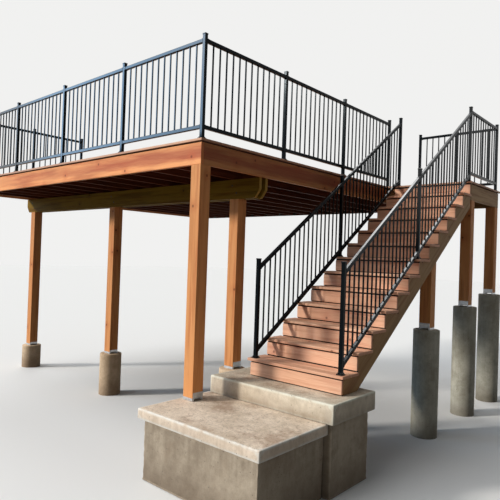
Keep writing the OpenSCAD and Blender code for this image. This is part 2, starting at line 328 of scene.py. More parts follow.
def cast_block(lo, hi, r, step, rough, coarse, seed):
    """A cast block: a grid on the six sides of a box, drawn in to a rounded box of radius r
    by keeping the nearest point of the inner box, then sunk by up to rough with waves, the
    finer ones weighted by coarse. The grain coordinate is the distance to the nearest edge."""
    lo, hi = np.asarray(lo, float), np.asarray(hi, float)
    lines = []
    for c in range(3):
        n = max(int((hi[c] - lo[c]) / step), 2)
        inner = np.linspace(lo[c] + r, hi[c] - r, n + 1)
        lines.append(np.concatenate([[lo[c], lo[c] + r * 0.4], inner,
                                     [hi[c] - r * 0.4, hi[c]]]))
    pts, faces, off = [], [], 0
    for c in range(3):
        a, b = (c + 1) % 3, (c + 2) % 3
        for s, value in ((0, lo[c]), (1, hi[c])):
            u, v = np.meshgrid(lines[a], lines[b], indexing="ij")
            p = np.zeros(u.shape + (3,))
            p[..., a], p[..., b], p[..., c] = u, v, value
            n, m = u.shape
            i, j = np.meshgrid(np.arange(n - 1), np.arange(m - 1), indexing="ij")
            q = off + np.stack([i * m + j, (i + 1) * m + j, (i + 1) * m + j + 1, i * m + j + 1],
                               axis=-1).reshape(-1, 4)
            faces.append(q if s else q[:, ::-1])
            pts.append(p.reshape(-1, 3))
            off += n * m
    p, f = np.concatenate(pts), np.concatenate(faces)
    _, first, back = np.unique(np.round(p, 6), axis=0, return_index=True, return_inverse=True)
    p, f = p[first], back.reshape(-1)[f]
    near = np.sort(np.minimum(p - lo, hi - p), axis=1)[:, 1]
    core = np.clip(p, lo + r, hi - r)
    d = p - core
    normal = d / np.maximum(np.linalg.norm(d, axis=1, keepdims=True), 1e-9)
    ph = np.random.default_rng(seed).uniform(0, 6.28, 8)
    x, y, z = p.T
    wave = (np.sin(x * 9 + ph[0]) * np.sin(y * 11 + ph[1])
            + np.sin(z * 14 + ph[2] + x * 5) * 0.7
            + coarse * (np.sin(y * 31 + ph[3] + z * 23) * np.sin(x * 27 + ph[6]) * 0.6
                        + np.sin(x * 57 + ph[4] - z * 49) * np.sin(y * 61 + ph[7]) * 0.6
                        + np.sin(z * 83 + ph[5] + x * 21 + y * 17) * 0.3))
    sink = rough * np.clip(0.5 + wave / (3.4 + 2.6 * coarse), 0, 1)
    sink = np.where(z <= lo[2] + 1e-6, 0, sink)[:, None]
    p = core + normal * (r - sink)
    p[:, 2] = np.where(core[:, 2] + normal[:, 2] * r <= lo[2] + 1e-6, lo[2], p[:, 2])
    uv = np.stack([near[f], 0 * near[f]], -1).reshape(-1, 2)
    return p, [f], uv, np.zeros(len(f)), np.zeros(len(f))


def join(*parts):
    """One mesh's arrays from several: each part's faces count on from the points before."""
    faces, off = [], 0
    for p in parts:
        faces += [block + off for block in p[1]]
        off += len(p[0])
    return (np.concatenate([p[0] for p in parts]), faces) + tuple(
        np.concatenate([p[c] for p in parts]) for c in (2, 3, 4))


def placed(name, data):
    """A new object in the scene that shows the mesh, lamp or camera in data."""
    obj = bpy.data.objects.new(name, data)
    bpy.context.scene.collection.objects.link(obj)
    return obj


def piece(name, part, material, nodes=(), smooth=None):
    """Puts arrays into a mesh object that rides on the structure and replaces CAD nodes.
    The marks up and front say how far a face looks up or to the front, from its normal.
    smooth is the angle in degrees up to which faces are shaded as one."""
    pts, blocks, uv, tone, end = part
    faces = [face for block in blocks for face in block.tolist()]
    mesh = bpy.data.meshes.new(name)
    mesh.from_pydata((pts + CENTRE).tolist(), [], faces)
    layer = mesh.uv_layers.new(name="Grain")
    layer.data.foreach_set("uv", uv.astype(np.float32).ravel())
    normal = np.empty(3 * len(faces), np.float32)
    mesh.polygons.foreach_get("normal", normal)
    for key, values in (("tone", tone), ("end", end), ("up", normal[2::3]),
                        ("front", -normal[1::3])):
        att = mesh.attributes.new(key, "FLOAT", "FACE")
        att.data.foreach_set("value", values.astype(np.float32))
    if smooth is not None:
        mesh.polygons.foreach_set("use_smooth", np.ones(len(faces), bool))
        mesh.set_sharp_from_angle(angle=math.radians(smooth))
    mesh.update()
    obj = placed(name, mesh)
    mesh.materials.append(material)
    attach(obj, "root")
    if nodes:
        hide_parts(*nodes)
    return obj


# Finishes


class Finish:
    """Short calls to add and join the nodes of one material."""

    def __init__(self, name):
        self.mat = bpy.data.materials.new(name)
        self.mat.use_nodes = True
        self.nodes = self.mat.node_tree.nodes
        self.links = self.mat.node_tree.links
        self.shader = self.nodes["Principled BSDF"]

    def put(self, socket, value):
        """Joins a node's output to the socket, or gives it a plain value."""
        if isinstance(value, bpy.types.NodeSocket):
            self.links.new(value, socket)
        else:
            socket.default_value = value

    def node(self, kind, **values):
        """A new node whose inputs are joined or set by name, with _ in place of a space."""
        n = self.nodes.new("ShaderNode" + kind)
        for name, value in values.items():
            self.put(n.inputs[name.replace("_", " ")], value)
        return n

    def math(self, kind, a, b=0.0, clamp=False):
        n = self.node("Math")
        n.operation = kind
        n.use_clamp = clamp
        self.put(n.inputs[0], a)
        self.put(n.inputs[1], b)
        return n.outputs[0]

    def times(self, a, b):
        return self.math("MULTIPLY", a, b)

    def plus(self, a, b):
        return self.math("ADD", a, b)

    def total(self, *pairs):
        """The sum of share * value over the pairs."""
        out = None
        for share, value in pairs:
            term = self.times(value, share)
            out = term if out is None else self.plus(out, term)
        return out

    def scaled(self, vector, scale):
        n = self.node("VectorMath")
        n.operation = "MULTIPLY"
        self.put(n.inputs[0], vector)
        n.inputs[1].default_value = scale
        return n.outputs[0]

    def noise(self, vector, scale, detail, rough=0.55):
        return self.node("TexNoise", Vector=vector, Scale=scale, Detail=detail,
                         Roughness=rough).outputs[0]

    def cells(self, vector, scale, flat=False):
        """Distance to the nearest cell's centre, and each cell's own number."""
        n = self.node("TexVoronoi", Vector=vector, Scale=scale)
        n.voronoi_dimensions = "2D" if flat else "3D"
        return n.outputs["Distance"], self.split(n.outputs["Color"])[0]

    def ramp(self, value, low, high):
        """0 below low, 1 above high, and a smooth step between them."""
        n = self.node("MapRange", Value=value, From_Min=low, From_Max=high)
        n.interpolation_type = "SMOOTHSTEP"
        return n.outputs[0]

    def less(self, value):
        """1 - value."""
        return self.math("SUBTRACT", 1.0, value)

    def mix(self, share, a, b):
        """Colour a where share is 0 and b where it is 1."""
        n = self.node("Mix")
        n.data_type = "RGBA"
        self.put(n.inputs[0], share)
        self.put(n.inputs[6], a if isinstance(a, bpy.types.NodeSocket) else (*a, 1.0))
        self.put(n.inputs[7], b if isinstance(b, bpy.types.NodeSocket) else (*b, 1.0))
        return n.outputs[2]

    def split(self, vector):
        return self.node("SeparateXYZ", Vector=vector).outputs

    def merge(self, x, y, z):
        return self.node("CombineXYZ", X=x, Y=y, Z=z).outputs[0]

    def attribute(self, name):
        n = self.node("Attribute")
        n.attribute_name = name
        return n.outputs["Fac"]

    def grain(self):
        """The grain map: along the wood, and across it."""
        n = self.node("UVMap")
        n.uv_map = "Grain"
        return self.split(n.outputs[0])

    def place(self):
        """The place in the model, in metres."""
        return self.node("TexCoord").outputs["Object"]

    def bump(self, height, distance, strength):
        n = self.node("Bump", Height=height, Distance=distance, Strength=strength)
        self.links.new(n.outputs[0], self.shader.inputs["Normal"])

    def finish(self, colour, rough, metal=0.0):
        self.put(self.shader.inputs["Base Color"], colour)
        self.put(self.shader.inputs["Roughness"], rough)
        self.put(self.shader.inputs["Metallic"], metal)
        return self.mat


def srgb(r, g, b):
    """Screen colour, 0 to 255, as linear light."""
    c = np.array([r, g, b]) / 255
    return tuple(float(v) for v in np.where(c < 0.04045, c / 12.92, ((c + 0.055) / 1.055) ** 2.4))


RING_RATE = 430.0
ARC_RATE = 900.0
WORN_GREY = (0.42, 0.36, 0.29)
HEART_DROP = 0.105


def heart_band(t, fibre):
    """Share of the redder heart: a wavy band at the middle height of the fascia planks, broken
    up by the fibres and stronger to the right."""
    p = t.place()
    x, _, z = t.split(p)
    wave = t.noise(t.scaled(p, (0.8, 0.8, 7.0)), 1.0, 4.0, 0.6)
    lift = t.total((0.16, t.math("SUBTRACT", wave, 0.5)), (1.0, z))
    off = t.math("ABSOLUTE", t.math("SUBTRACT", lift, FL - HEART_DROP))
    share = t.times(t.less(t.ramp(off, 0.020, 0.085)), t.ramp(x, -5.5, 2.0))
    share = t.times(share, t.plus(t.times(fibre, 0.5), 0.55))
    return t.times(share, 0.85)


def saw_arcs(t, u, v):
    """Rings of a sawn end: sine waves of the distance to the middle of each metre square of
    the grain map."""
    square = [t.math("POWER", t.math("SUBTRACT", t.math("FRACT", c), 0.5), 2.0) for c in (u, v)]
    away = t.math("POWER", t.plus(*square), 0.5)
    return t.plus(t.times(t.math("SINE", t.times(away, ARC_RATE)), 0.25), 0.5)


def timber(name, pale, mid, deep, streaks, knots, grey_share=0.0, heart=None, ends=None, under=None,
           shine=0.12):
    """Sawn and stained softwood with its grain along the first coordinate. Year rings are
    waves across the board that wander with slow noise and swing round the knots. Fibres and
    stain streaks are noise drawn out along the board, knots are sparse round cells, and each
    board has its own tone. grey_share greys the wood in patches, and heart is a redder colour
    that runs along the middle height of the fascia planks, stronger to the right. ends is
    the pair of colours of the sawn ends, under a darker colour that the faces that look down
    get as painted shade, and shine the strength of the stain's gloss."""
    t = Finish(name)
    u, v, _ = t.grain()
    tone, end = t.attribute("tone"), t.attribute("end")
    g = t.merge(u, v, t.times(tone, 9.0))
    dist, pick = t.cells(g, 3.6, True)
    chosen = t.ramp(pick, 1.0 - knots, 1.01 - knots)
    knot = t.times(chosen, t.less(t.ramp(dist, 0.020, 0.075)))
    swing = t.times(chosen, t.less(t.ramp(dist, 0.02, 0.36)))
    wander = t.noise(t.scaled(g, (0.7, 6.0, 1.0)), 1.0, 2.0)
    phase = t.total((RING_RATE, v), (70.0, wander), (13.0, swing))
    ring = t.math("POWER", t.times(t.plus(t.math("SINE", phase), 1.0), 0.5), 2.0)
    fibre = t.noise(t.scaled(g, (5.0, 250.0, 60.0)), 1.0, 3.0, 0.6)
    streak = t.ramp(t.noise(t.scaled(g, (1.1, 22.0, 3.0)), 1.0, 4.0, 0.62), 0.45, 0.68)
    cloud = t.noise(t.scaled(g, (0.9, 5.0, 2.0)), 1.0, 3.0)
    blot = t.ramp(t.noise(t.scaled(g, (1.1, 9.0, 5.0)), 1.0, 3.0), 0.48, 0.66)
    share = t.total((0.34, ring), (0.62, fibre), (0.9, cloud), (0.30, tone))
    share = t.math("ADD", share, -0.68, True)
    colour = t.mix(share, pale, mid)
    red = tuple(0.55 * a + 0.45 * b for a, b in zip(deep, (mid[0], mid[1] * 0.55, mid[2] * 0.5)))
    colour = t.mix(t.times(streak, streaks), colour, red)
    colour = t.mix(t.times(blot, streaks * 0.55), colour, deep)
    if heart:
        colour = t.mix(heart_band(t, fibre), colour, heart)
    if grey_share:
        colour = t.mix(t.times(t.ramp(cloud, 0.42, 0.72), grey_share), colour, WORN_GREY)
    colour = t.mix(t.times(swing, 0.35), colour, red)
    colour = t.mix(t.times(knot, 0.75), colour, tuple(c * 0.45 for c in deep))
    sawn = t.mix(saw_arcs(t, u, v), *(ends or (mid, deep)))
    colour = t.mix(t.times(end, 0.8), colour, sawn)
    # Faces that look down take the under colour: a painted shade.
    if under:
        down = t.ramp(t.times(t.attribute("up"), -1.0), 0.3, 0.8)
        colour = t.mix(t.times(down, 0.9), colour, under)
    t.bump(t.total((0.7, fibre), (0.35, ring)), 0.0008, 0.8)
    t.shader.inputs["Specular IOR Level"].default_value = shine
    return t.finish(colour, t.plus(t.times(fibre, 0.22), 0.46))


def concrete(name, pale, deep, dirt, grime, foot=0.0, climb=0.34):
    """Cast concrete: slow stains, fine sand, small air holes painted dark as shade in the pits,
    pale edges that are partly wear and partly a painted highlight, brown grime in patches,
    and a damp that climbs in drips from the height foot."""
    t = Finish(name)
    p = t.place()
    stain = t.noise(p, 2.6, 6.0, 0.68)
    cloud = t.noise(p, 11.0, 5.0, 0.65)
    drip = t.noise(t.scaled(p, (22.0, 22.0, 1.6)), 1.0, 4.0, 0.6)
    sand = t.noise(p, 230.0, 2.0, 0.7)
    flat = t.ramp(t.attribute("up"), 0.7, 0.95)
    dist, pick = t.cells(p, 38.0)
    hole = t.times(t.ramp(pick, 0.80, 0.84), t.less(t.ramp(dist, 0.08, 0.22)))
    share = t.ramp(t.total((0.8, stain), (0.45, cloud), (0.35, drip)), 0.58, 1.02)
    colour = t.mix(share, deep, pale)
    colour = t.mix(t.times(t.ramp(sand, 0.45, 0.75), 0.30), colour,
                   tuple(c * 0.55 for c in deep))
    patch = t.ramp(t.total((0.75, t.noise(p, 2.1, 6.0, 0.72)), (0.25, cloud)), 0.49, 0.62)
    patch = t.times(patch, t.plus(t.times(flat, 0.65), 0.35))
    colour = t.mix(t.times(patch, grime), colour, dirt)
    speck = t.ramp(t.noise(p, 55.0, 4.0, 0.8), 0.50, 0.68)
    speck = t.times(speck, t.plus(t.times(flat, 0.40), 0.12))
    colour = t.mix(speck, colour, tuple(c * 0.45 for c in dirt))
    # Pale edges: partly wear, partly a painted highlight.
    edge = t.less(t.ramp(t.grain()[0], 0.006, 0.030))
    edge = t.times(edge, t.ramp(cloud, 0.26, 0.56))
    bright = tuple(min(c * 1.25, 0.82) for c in pale)
    colour = t.mix(t.times(edge, 0.65), colour, bright)
    # Air holes painted dark: painted shade in the pits.
    colour = t.mix(t.times(hole, 0.75), colour, tuple(c * 0.25 for c in deep))
    height = t.total((1.0, t.split(p)[2]), (climb * 1.1, t.math("SUBTRACT", 0.5, drip)))
    damp = t.times(t.less(t.ramp(height, foot, foot + climb)), t.less(flat))
    colour = t.mix(t.times(damp, 0.55), colour, tuple(c * 0.55 for c in dirt))
    t.bump(t.total((0.55, sand), (-1.2, hole), (0.8, cloud)), 0.0022, 0.8)
    return t.finish(colour, t.plus(0.78, t.times(sand, 0.15)))


COAT_BLACK = (0.0016, 0.0026, 0.0036)
COAT_DUSTY = (0.0048, 0.0058, 0.0068)
COAT_DUST_AND_HIGHLIGHT = (0.060, 0.066, 0.070)


def powder_black(name):
    """Black powder coat: fine orange peel and a little dust in slow clouds. The faces that look
    up get a lighter grey and a clear coat, most on the right hand side of the flight: partly
    dust, partly a painted highlight for the sky's reflection. The fronts of the front railing
    and the fronts high up on that side get the clear coat only."""
    t = Finish(name)
    p = t.place()
    peel = t.noise(p, 900.0, 2.0, 0.5)
    dust = t.ramp(t.noise(p, 5.0, 5.0, 0.7), 0.45, 0.8)
    t.bump(peel, 0.0002, 0.25)
    t.shader.inputs["Specular IOR Level"].default_value = 0.07
    # Sky-blue tint in the reflections: a painted reflection colour.
    t.shader.inputs["Specular Tint"].default_value = (0.72, 0.90, 1.0, 1.0)
    t.shader.inputs["Coat Roughness"].default_value = 0.16
    x, y, z = t.split(p)
    # The next mask is 1 on the flight's right hand side, where the tops get the most painted
    # highlight.
    right_side = t.ramp(x, CENTRE[0] + 0.5, CENTRE[0] + 0.8)
    grey_share = t.times(t.ramp(t.attribute("up"), 0.35, 0.75), t.plus(t.times(right_side, 0.7), 0.3))
    edge = t.times(t.ramp(z, DECK_H + 0.01, DECK_H + 0.10),
                   t.less(t.ramp(y, CENTRE[1] + 0.12, CENTRE[1] + 0.16)))
    high = t.times(t.ramp(z, DECK_H - 1.0, DECK_H - 0.3), 0.6)
    edge = t.math("MAXIMUM", edge, t.times(right_side, high))
    facing = t.times(t.ramp(t.attribute("front"), 0.6, 0.9), edge)
    t.put(t.shader.inputs["Coat Weight"], t.math("MAXIMUM", grey_share, facing))
    colour = t.mix(dust, COAT_BLACK, COAT_DUSTY)
    # Tops in a lighter grey: partly dust, partly a painted highlight.
    colour = t.mix(t.times(grey_share, t.plus(t.times(dust, 0.5), 0.35)), colour, COAT_DUST_AND_HIGHLIGHT)
    return t.finish(colour, t.plus(0.15, t.times(dust, 0.08)))


def zinc(name, tint, metal=1.0):
    """Zinc coated steel: crystal cells of slightly different grey, clouded and dull."""
    t = Finish(name)
    p = t.place()
    cell = t.cells(p, 120.0)[1]
    cloud = t.noise(p, 14.0, 4.0, 0.6)
    share = t.total((0.4, cell), (0.6, cloud))
    t.bump(cloud, 0.0003, 0.4)
    return t.finish(t.mix(share, tuple(c * 0.62 for c in tint), tint),
                    t.plus(0.34, t.times(share, 0.25)), metal)


step_wood = timber("stained_steps", srgb(236, 188, 155), srgb(218, 161, 127),
                   srgb(156, 99, 71), 0.5, 0.12, shine=0.28)
# The deck's boards are painted a darker brown underneath: painted shade.
deck_wood = timber("stained_deck", srgb(218, 172, 140), srgb(194, 142, 112),
                   srgb(134, 88, 62), 0.7, 0.16, 0.25, under=srgb(80, 50, 33), shine=0.28)
cedar = timber("cedar_stain", srgb(227, 160, 102), srgb(209, 136, 81), srgb(139, 75, 40),
               0.45, 0.30)
fascia_wood = timber("fascia_stain", srgb(254, 182, 121), srgb(243, 158, 100),
                     srgb(150, 76, 48), 0.6, 0.30, heart=srgb(170, 82, 58))
# The right fascia's stain is the fascia stain at about 0.6 of its light: partly a darker stain,
# partly painted shade.
side_wood = timber("side_fascia_stain_and_shade", srgb(201, 142, 92), srgb(190, 122, 76),
                   srgb(118, 58, 36), 0.6, 0.30, heart=srgb(134, 63, 44))
string_wood = timber("stringer_stain", srgb(177, 141, 95), srgb(149, 112, 72),
                     srgb(94, 67, 39), 0.6, 0.14)
joist_wood = timber("treated_joists", srgb(112, 62, 42), srgb(86, 46, 30), srgb(52, 28, 17),
                    0.8, 0.2, shine=0.02)
beam_wood = timber("treated_beam", srgb(144, 112, 36), srgb(114, 86, 22), srgb(70, 50, 14),
                   0.7, 0.2, ends=(srgb(196, 162, 92), srgb(160, 126, 62)), shine=0.04)
# Near-black wood for the strips in the riser gaps and the rim recess: painted shade.
shade_black = timber("painted_shade_black", srgb(26, 18, 13), srgb(19, 13, 10), srgb(13, 9, 7), 0.6, 0.1)
cast = concrete("cast_concrete", srgb(246, 227, 205), srgb(205, 184, 160), srgb(150, 116, 90),
                0.62)
pier_cast = concrete("pier_concrete", srgb(232, 205, 172), srgb(184, 156, 124),
                     srgb(150, 114, 82), 0.5)
# The piers beside the flight: a greyer, darker concrete, partly damp and partly painted shade.
shade_cast = concrete("damp_and_shaded_concrete", srgb(196, 191, 174), srgb(150, 144, 127),
                      srgb(116, 102, 84), 0.5)
pad_cast = concrete("pad_concrete", srgb(232, 218, 196), srgb(190, 175, 152),
                    srgb(150, 122, 98), 0.62, SLAB_TOP - 0.02, 0.15)
buried = concrete("buried_concrete", srgb(190, 174, 152), srgb(146, 130, 110),
                  srgb(126, 102, 78), 0.7)
black = powder_black("black_powder_coat")
steel = zinc("galvanised_steel", srgb(205, 208, 210))
screw = zinc("bronze_screws", srgb(120, 92, 62))
dull = zinc("dull_bolts", srgb(72, 64, 50), 0.3)

# Deck and landing boards

n_rows = 37
board_w = (DECK_D - (n_rows - 1) * BOARD_GAP) / n_rows
board_y = np.arange(n_rows) * (board_w + BOARD_GAP)
n_joists = 13
joist_pitch = (FRAME_X1 - 2 * PLANK - FRAME_X0) / (n_joists + 1)
joist_x = FRAME_X0 + PLANK + np.arange(1, n_joists + 1) * joist_pitch
# Each row is two boards that meet over a joist, in an order that repeats after seven rows.
cut_at = joist_x[np.array([4, 8, 6, 3, 9, 5, 7])[np.arange(n_rows) % 7]]
gap = BUTT_GAP / 2
far_y = board_y + board_w
piece("deck_board_rows", box_bars(
    np.concatenate([rows(-DECK_L, board_y, FL), rows(cut_at + gap, board_y, FL)]),
    np.concatenate([rows(cut_at - gap, far_y, DECK_H), rows(0, far_y, DECK_H)]),
    0, *EASED), deck_wood, ("deck_boards",))

landing_rows = 9
landing_w = (LAND_Y1 - TOP_Y - (landing_rows - 1) * BOARD_GAP) / landing_rows
landing_y = TOP_Y + np.arange(landing_rows) * (landing_w + BOARD_GAP)
piece("landing_board_rows", box_bars(rows(BUTT_GAP, landing_y, FL),
                                     rows(LAND_X1, landing_y + landing_w, DECK_H), 0, *EASED),
      deck_wood, ("landing_boards",))

# Treads of two boards, and riser boards with near-black strips in their gaps as painted shade

tread = np.arange(1, RISERS)
tread_w = (RUN + OVER - BOARD_GAP - TREAD_GAP) / 2
tread_y = np.concatenate([nose(tread), nose(tread) + tread_w + TREAD_GAP])
tread_z = np.concatenate([top(tread), top(tread)])
piece("tread_boards", box_bars(rows(STAIR_X0 - OVER, tread_y, tread_z - TREAD),
                               rows(LAND_X1, tread_y + tread_w, tread_z), 0, *ROUNDED),
      step_wood, ("stair_treads",))

riser = np.arange(1, RISERS + 1)
foot_z = np.where(riser == 1, PAD_TOP, top(riser - 1) - TREAD)
head_z = np.where(riser == RISERS, FL, top(riser) - TREAD)
face_y = nose(riser) + OVER
low_z, high_z = top(riser - 1) + RISER_GAP[0], head_z - RISER_GAP[1]
piece("riser_planks", box_bars(rows(STAIR_X0, face_y, low_z),
                               rows(STAIR_X1, face_y + RISER_T, high_z),
                               0, 0.003, 2, 0.0015), step_wood,
      ("riser_boards",))
# Near-black strips behind the gaps above and below each riser board: painted shade in the slots.
gap_shade_y = face_y + GAP_SHADE_IN, face_y + RISER_T
piece("riser_gap_shade", box_bars(
    np.concatenate([rows(STAIR_X0, gap_shade_y[0], foot_z), rows(STAIR_X0, gap_shade_y[0], high_z)]),
    np.concatenate([rows(STAIR_X1, gap_shade_y[1], low_z), rows(STAIR_X1, gap_shade_y[1], head_z)]),
    0, 0.001, 1, 0.0005), shade_black)

# Rims with a recess under the boards that holds a near-black painted shadow line, ledger and
# joists

RIM_TOP = FL - RIM_GAP


def plank_x(x0, x1, ya, yb, z0=JB, z1=FL):
    """A frame plank with its grain along X."""
    return box_bars([x0, ya, z0], [x1, yb, z1], 0, *EASED)


def plank_y(xa, xb, ya, yb, z0=JB, z1=FL):
    """A frame plank with its grain along Y."""
    return box_bars([xa, ya, z0], [xb, yb, z1], 1, *EASED)


piece("front_fascia", plank_x(FRAME_X0, FRAME_X1, OVER, OVER + PLANK, JB, RIM_TOP),
      fascia_wood, ("rim_front",))
piece("right_fascia", plank_y(FRAME_X1 - PLANK, FRAME_X1, OVER + PLANK, DECK_D - PLANK, JB,
                              RIM_TOP), side_wood, ("rim_right",))
piece("left_fascia", plank_y(FRAME_X0, FRAME_X0 + PLANK, OVER + PLANK, DECK_D - PLANK, JB,
                             RIM_TOP), fascia_wood, ("rim_left",))
piece("landing_fascia_front", plank_x(FRAME_X1, STAIR_X1, RIM_Y, RIM_Y + PLANK), string_wood,
      ("landing_rim_front",))
piece("landing_fascia_right", plank_y(STAIR_X1 - PLANK, STAIR_X1, RIM_Y + PLANK,
                                      LAND_BACK - PLANK, JB, RIM_TOP), string_wood,
      ("landing_rim_right",))
piece("landing_fascia_back", plank_x(FRAME_X1, STAIR_X1, LAND_BACK - PLANK,
                                     LAND_BACK, JB, RIM_TOP), string_wood,
      ("landing_rim_back",))
# Near-black strips in the recess under the boards: a painted shadow line.
low = RIM_TOP - 0.004
piece("rim_shadow_strips", join(
    plank_x(FRAME_X0 + RECESS, FRAME_X1 - RECESS, OVER + RECESS, OVER + PLANK, low),
    plank_y(FRAME_X1 - PLANK, FRAME_X1 - RECESS, OVER + PLANK, DECK_D - PLANK, low),
    plank_y(FRAME_X0 + RECESS, FRAME_X0 + PLANK, OVER + PLANK, DECK_D - PLANK, low),
    plank_y(STAIR_X1 - PLANK, STAIR_X1 - RECESS, RIM_Y + PLANK, LAND_BACK - PLANK, low),
    plank_x(FRAME_X1, STAIR_X1 - RECESS, LAND_BACK - PLANK, LAND_BACK - RECESS,
            low)), shade_black)
piece("ledger_plank", plank_x(FRAME_X0, FRAME_X1, DECK_D - PLANK, DECK_D), joist_wood,
      ("house_ledger",))
piece("joist_planks", box_bars(rows(joist_x - PLANK / 2, OVER + PLANK, JB),
                               rows(joist_x + PLANK / 2, DECK_D - PLANK, FL), 1, *SHARP),
      joist_wood, ("deck_joists",))
land_x = FRAME_X1 + np.arange(1, 3) * (STAIR_X1 - PLANK - FRAME_X1) / 3
piece("landing_joist_planks", box_bars(
    rows(land_x - PLANK / 2, RIM_Y + PLANK, JB),
    rows(land_x + PLANK / 2, LAND_BACK - PLANK, FL), 1, *SHARP), joist_wood,
    ("landing_joists",))

# Beam planks with clipped lower corners, and stringers cut to the steps

cx, cz = BEAM_CLIP
beam_shape = [(BEAM_X0 + cx, BB), (BEAM_X1 - cx, BB), (BEAM_X1, BB + cz), (BEAM_X1, JB),
              (BEAM_X0, JB), (BEAM_X0, BB + cz)]
for name, y in (("outer", BEAM_Y + PLANK), ("inner", BEAM_Y + POST)):
    piece("beam_plank_" + name, plate(beam_shape, (0, y, 0), X, Z, PLANK, (1, 0), 0.003),
          beam_wood, ("front_beam_" + name,))

THROAT = STRING_H * math.sqrt(1 + SLOPE * SLOPE)


def under(y):
    """Height at y of the stringers' underside: the line through the tops of their notches,
    lowered by the plank's plumb depth."""
    return nose_line(y) - TREAD - (OVER + RISER_T) * SLOPE - THROAT


foot_y = nose(1) + (PAD_TOP - under(nose(1))) / SLOPE
stair_shape = [(nose(1) + OVER + RISER_T, PAD_TOP)]
stair_shape += [(nose(i + e) + OVER + RISER_T, top(i) - TREAD)
                for i in range(1, RISERS) for e in (0, 1)]
stair_shape += [(RIM_Y, under(RIM_Y)), (foot_y, PAD_TOP)]
pitch = math.hypot(RISE, RUN)
for name, x in (("left", STAIR_X0), ("middle", (STAIR_X0 + STAIR_X1 - PLANK) / 2),
                ("right", STAIR_X1 - PLANK)):
    piece("cut_stringer_" + name, plate(stair_shape, (x, 0, 0), Y, Z, PLANK,
                                        (RUN / pitch, RISE / pitch), 0.002),
          string_wood,
          ("stringer_" + name,))

# Posts


def square_post(x, y, z0, z1):
    """A dressed square post from z0 to z1, with its corner at x, y."""
    return box_bars([x, y, z0], [x + POST, y + POST, z1], 2, *ROUNDED)


def notched_post(x, z0):
    """Square below the beam, with a tongue of the full width between the two planks."""
    return join(square_post(x, BEAM_Y, z0 + STANDOFF, BB),
                box_bars([x, BEAM_Y + PLANK, BB - 0.01],
                         [x + POST, BEAM_Y + POST - PLANK, JB], 2, 0.002, 1, 0.001))


for name, x, z in zip(("left", "middle", "right"), (P1X, P2X, P4X), PIER_TOPS):
    piece("front_post_" + name, notched_post(x, z), cedar,
          ("post_front_" + name,))
piece("corner_post", square_post(-OVER - POST, OVER, SLAB_TOP + STANDOFF, JB), cedar,
      ("post_corner",))
piece("landing_post_front", square_post(PX, P6Y, PIER_TOPS[4] + STANDOFF, JB), cedar,
      ("post_landing_front",))
piece("landing_post_back", square_post(PX, P7Y, PIER_TOPS[5] + STANDOFF, JB), cedar,
      ("post_landing_back",))


def stair_post():
    """The post under the flight: a square post whose top ring rises with the stringer."""
    mid = P5Y + POST / 2
    pts, *rest = square_post(PX, P5Y, PIER_TOPS[3] + STANDOFF, under(mid))
    lift = (pts[:, 1] - mid) * SLOPE
    pts[:, 2] = np.where(pts[:, 2] > under(mid) - 0.01, pts[:, 2] + lift, pts[:, 2])
    return (pts, *rest)


piece("flight_post", stair_post(), cedar, ("post_stair",))

# Concrete


def block_piece(name, node, seed, material, r, rough, coarse, grid=0.05):
    """A cast block that fills the box of its CAD node."""
    lo, hi = (np.array(v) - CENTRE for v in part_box(node))
    piece(name, cast_block(lo, hi, r, grid, rough, coarse, seed), material,
          (node,), smooth=40)


block_piece("upper_pad", "stair_pad", 1, pad_cast, 0.012, 0.003, 0.4)
block_piece("lower_slab", "walk_slab", 2, cast, 0.014, 0.004, 0.5)
block_piece("pad_footing_block", "stair_pad_footing", 3, buried, 0.02, 0.018, 1.6, 0.03)
block_piece("slab_footing_block", "walk_slab_footing", 4, buried, 0.02, 0.018, 1.6, 0.03)


def tube_pier(x, y, h):
    """A pier cast in a paper tube: a round column with an eased rim and a flat top."""
    z = np.concatenate([[0, 0.01], np.arange(0.05, h - 0.03, 0.05), [h - 0.012, h - 0.004, h]])
    rr = np.full(len(z), PIER_R)
    rr[-1], rr[-2] = PIER_R - 0.012, PIER_R - 0.003
    return turned([[x + POST / 2, y + POST / 2, 0]], (0, 0, 1), rows(rr, z), 48)


places = ((P1X, BEAM_Y), (P2X, BEAM_Y), (P4X, BEAM_Y), (PX, P5Y), (PX, P6Y), (PX, P7Y))
piers = [tube_pier(x, y, h) for (x, y), h in zip(places, PIER_TOPS)]
piece("front_tube_piers", join(*piers[:3]), pier_cast, ("front_piers",),
      smooth=40)
piece("stair_tube_piers", join(*piers[3:]), shade_cast, ("stair_piers",),
      smooth=40)

# Metal post bases

bolt = np.array([(0.0005, 0.009), (0.008, 0.009), (0.0105, 0.0075), (0.0105, 0.0015),
                 (0.014, 0.0015), (0.014, -0.001)][::-1])


